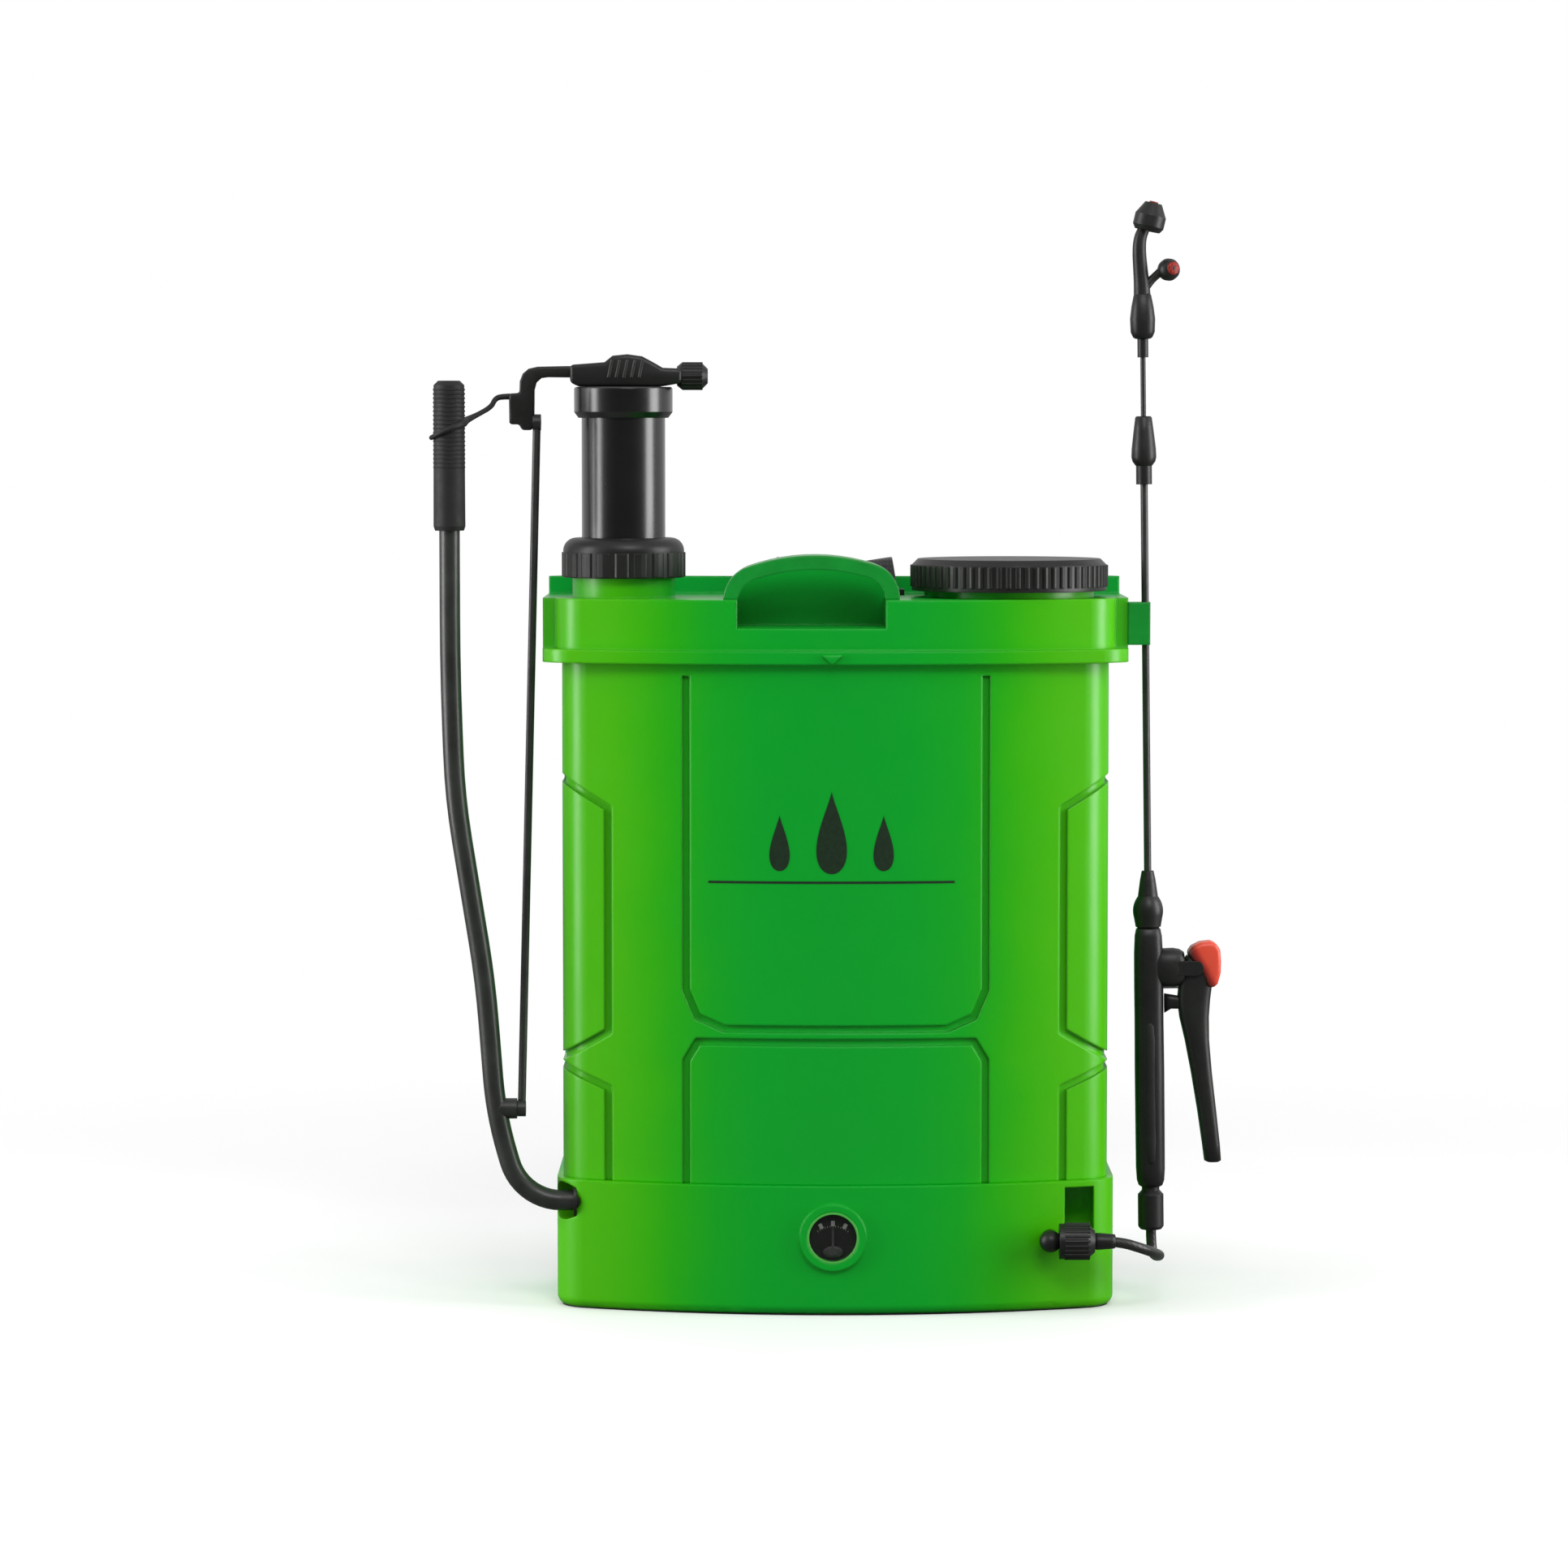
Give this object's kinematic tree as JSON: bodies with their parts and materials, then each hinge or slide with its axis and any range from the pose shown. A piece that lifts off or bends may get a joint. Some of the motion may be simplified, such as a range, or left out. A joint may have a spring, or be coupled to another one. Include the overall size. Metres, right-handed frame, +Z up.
{
  "type": "backpack sprayer",
  "caption": "Knapsack sprayer: hollow-backed tank on a powered base, side pump lever with link rod and air chamber, screw lid, shoulder straps and a telescopic wand with twin nozzle.",
  "frame": {"origin": "middle of the base footprint, on the surface the sprayer stands on", "axes": "+Z up, +X towards the wand, -Y the front with the voltmeter, +Y the wearer's back"},
  "size_m": [0.5393, 0.228, 0.7517],
  "materials": {
    "tank_green": "blow-moulded polyethylene",
    "base_green": "injection-moulded polypropylene",
    "black_plastic": "moulded, satin",
    "chamber_black": "moulded, glossy",
    "red_plastic": "moulded",
    "lance_tube": "powder-coated steel tube",
    "lever_steel": "powder-coated steel tube",
    "rod_steel": "coated steel wire",
    "steel": "zinc plated",
    "rubber": "black rubber",
    "hose_black": "black PVC hose",
    "inner_hose": "clear silicone hose",
    "webbing": "woven polypropylene webbing",
    "pad_fabric": "padded nylon",
    "dial": "printed dial",
    "needle": "painted needle",
    "lens": "clear acrylic lens",
    "white_plastic": "moulded",
    "battery_grey": "battery case",
    "motor_steel": "drawn steel can"
  },
  "bodies": {
    "root": {"tank": "tank_green", "carry_handle": "tank_green", "base": "base_green", "base_plate": "black_plastic", "base_screws": "steel", "voltmeter_case": "black_plastic", "voltmeter_dial": "dial", "voltmeter_lens": "lens", "battery": "battery_grey", "pump_motor": "motor_steel", "pump_head": "black_plastic", "tank_outlet": "black_plastic", "pump_hoses": "inner_hose", "switch_frame": "black_plastic", "charging_socket": "black_plastic", "outlet_fitting": "black_plastic", "wand_hose": "hose_black", "hose_tail_nut": "black_plastic", "strainer": "white_plastic", "pump_cylinder": "white_plastic", "foot_valve": "white_plastic", "lever_bush": "black_plastic", "lance_clip": "base_green", "shoulder_pad_left": "pad_fabric", "shoulder_pad_right": "pad_fabric", "strap_webbing": "webbing", "strap_buckles": "black_plastic", "strap_anchors": "black_plastic", "trigger_handle": "black_plastic", "trigger_pin": "steel", "lance_nut": "black_plastic", "lance_tube_lower": "lance_tube", "telescope_collet": "black_plastic"},
    "pump_lever": {"lever": "lever_steel", "lever_grip": "rubber", "handle_tie": "rubber"},
    "air_chamber": {"air_chamber": "chamber_black", "piston_cup": "rubber", "chamber_cap": "chamber_black", "chamber_head": "black_plastic", "pump_arm": "black_plastic"},
    "link_rod": {"link_rod": "rod_steel"},
    "outlet_cap": {"outlet_cap": "black_plastic"},
    "lid_plate": {"lid_gasket": "rubber"},
    "lid": {"lid_cap": "black_plastic"},
    "needle": {"voltmeter_needle": "needle"},
    "rocker": {"power_switch": "red_plastic"},
    "trigger": {"trigger_lever": "black_plastic"},
    "trigger_lock": {"trigger_lock": "red_plastic"},
    "valve_stem": {"valve_stem": "steel"},
    "lance_inner": {"lance_tube_upper": "lance_tube", "nozzle_ferrule": "black_plastic"},
    "telescope_nut": {"telescope_nut": "black_plastic"},
    "nozzle_head": {"nozzle_body": "black_plastic", "nozzle_nut": "black_plastic", "nozzle_tips": "red_plastic"},
    "nozzle_cap_top": {"nozzle_cap_top": "black_plastic"},
    "nozzle_cap_side": {"nozzle_cap_side": "black_plastic"},
    "outlet_nut": {"outlet_nut": "black_plastic"},
    "chamber_nut": {"chamber_nut": "black_plastic"}
  },
  "joints": [
    {"name": "pump_lever", "type": "hinge", "parent": "root", "child": "pump_lever", "pos_m": [-0.17, -0.052, 0.073], "axis": [-1, 0, 0], "range_deg": [0, 80]},
    {"name": "chamber_slide", "type": "slide", "parent": "root", "child": "air_chamber", "axis": [0, 0, 1], "range_m": [-0.0515, 0]},
    {"name": "link_swing", "type": "hinge", "parent": "air_chamber", "child": "link_rod", "pos_m": [-0.2066, -0.015, 0.602], "axis": [1, 0, 0], "range_deg": [0, 7.8]},
    {"name": "outlet_cap_turn", "type": "hinge", "parent": "air_chamber", "child": "outlet_cap", "pos_m": [-0.098, -0.015, 0.6334], "axis": [1, 0, 0], "continuous": true},
    {"name": "lid_lift", "type": "slide", "parent": "root", "child": "lid_plate", "axis": [0, 0, 1], "range_m": [0, 0.08]},
    {"name": "lid_turn", "type": "hinge", "parent": "lid_plate", "child": "lid", "pos_m": [0.119, -0.01, 0.5], "axis": [0, 0, 1], "continuous": true},
    {"name": "needle_swing", "type": "hinge", "parent": "root", "child": "needle", "pos_m": [-0.002, -0.091, 0.044], "axis": [0, 1, 0], "range_deg": [-40, 40], "stiffness_Nm_per_rad": 0.0005},
    {"name": "switch_rock", "type": "hinge", "parent": "root", "child": "rocker", "pos_m": [0.187, 0.024, 0.05], "axis": [0, 1, 0], "range_deg": [0, 10]},
    {"name": "trigger_squeeze", "type": "hinge", "parent": "root", "child": "trigger", "pos_m": [0.24628, -0.03, 0.23043], "axis": [0, 1, 0], "range_deg": [0, 6], "stiffness_Nm_per_rad": 5, "springref_deg": -5.73},
    {"name": "stem_push", "type": "slide", "parent": "root", "child": "valve_stem", "axis": [-0.9999, 0, -0.014], "range_m": [0, 0.0014]},
    {"name": "lock_swing", "type": "hinge", "parent": "trigger", "child": "trigger_lock", "pos_m": [0.24628, -0.03, 0.23043], "axis": [0, -1, 0], "range_deg": [0, 12]},
    {"name": "telescope_slide", "type": "slide", "parent": "root", "child": "lance_inner", "axis": [-0.014, 0, 0.9999], "range_m": [-0.03, 0.19]},
    {"name": "telescope_nut_turn", "type": "hinge", "parent": "root", "child": "telescope_nut", "pos_m": [0.20926, -0.03, 0.58995], "axis": [-0.014, 0, 0.9999], "continuous": true},
    {"name": "nozzle_swivel", "type": "hinge", "parent": "lance_inner", "child": "nozzle_head", "pos_m": [0.20814, -0.03, 0.66994], "axis": [-0.014, 0, 0.9999], "continuous": true},
    {"name": "top_cap_turn", "type": "hinge", "parent": "nozzle_head", "child": "nozzle_cap_top", "pos_m": [0.20749, -0.03, 0.71693], "axis": [0.2284, 0, 0.9736], "continuous": true},
    {"name": "side_cap_turn", "type": "hinge", "parent": "nozzle_head", "child": "nozzle_cap_side", "pos_m": [0.22165, -0.03, 0.70513], "axis": [0.9999, 0, 0.014], "continuous": true},
    {"name": "outlet_nut_turn", "type": "hinge", "parent": "root", "child": "outlet_nut", "pos_m": [0.16, -0.086, 0.05], "axis": [1, 0, 0], "continuous": true},
    {"name": "chamber_nut_turn", "type": "hinge", "parent": "root", "child": "chamber_nut", "pos_m": [-0.1445, -0.015, 0.505], "axis": [0, 0, 1], "continuous": true}
  ],
  "couplings": [
    {"joint": "chamber_slide", "follows": "pump_lever", "m_per_rad": -0.036716},
    {"joint": "link_swing", "follows": "pump_lever", "ratio": 0.095133},
    {"joint": "stem_push", "follows": "trigger_squeeze", "m_per_rad": 0.012}
  ]
}
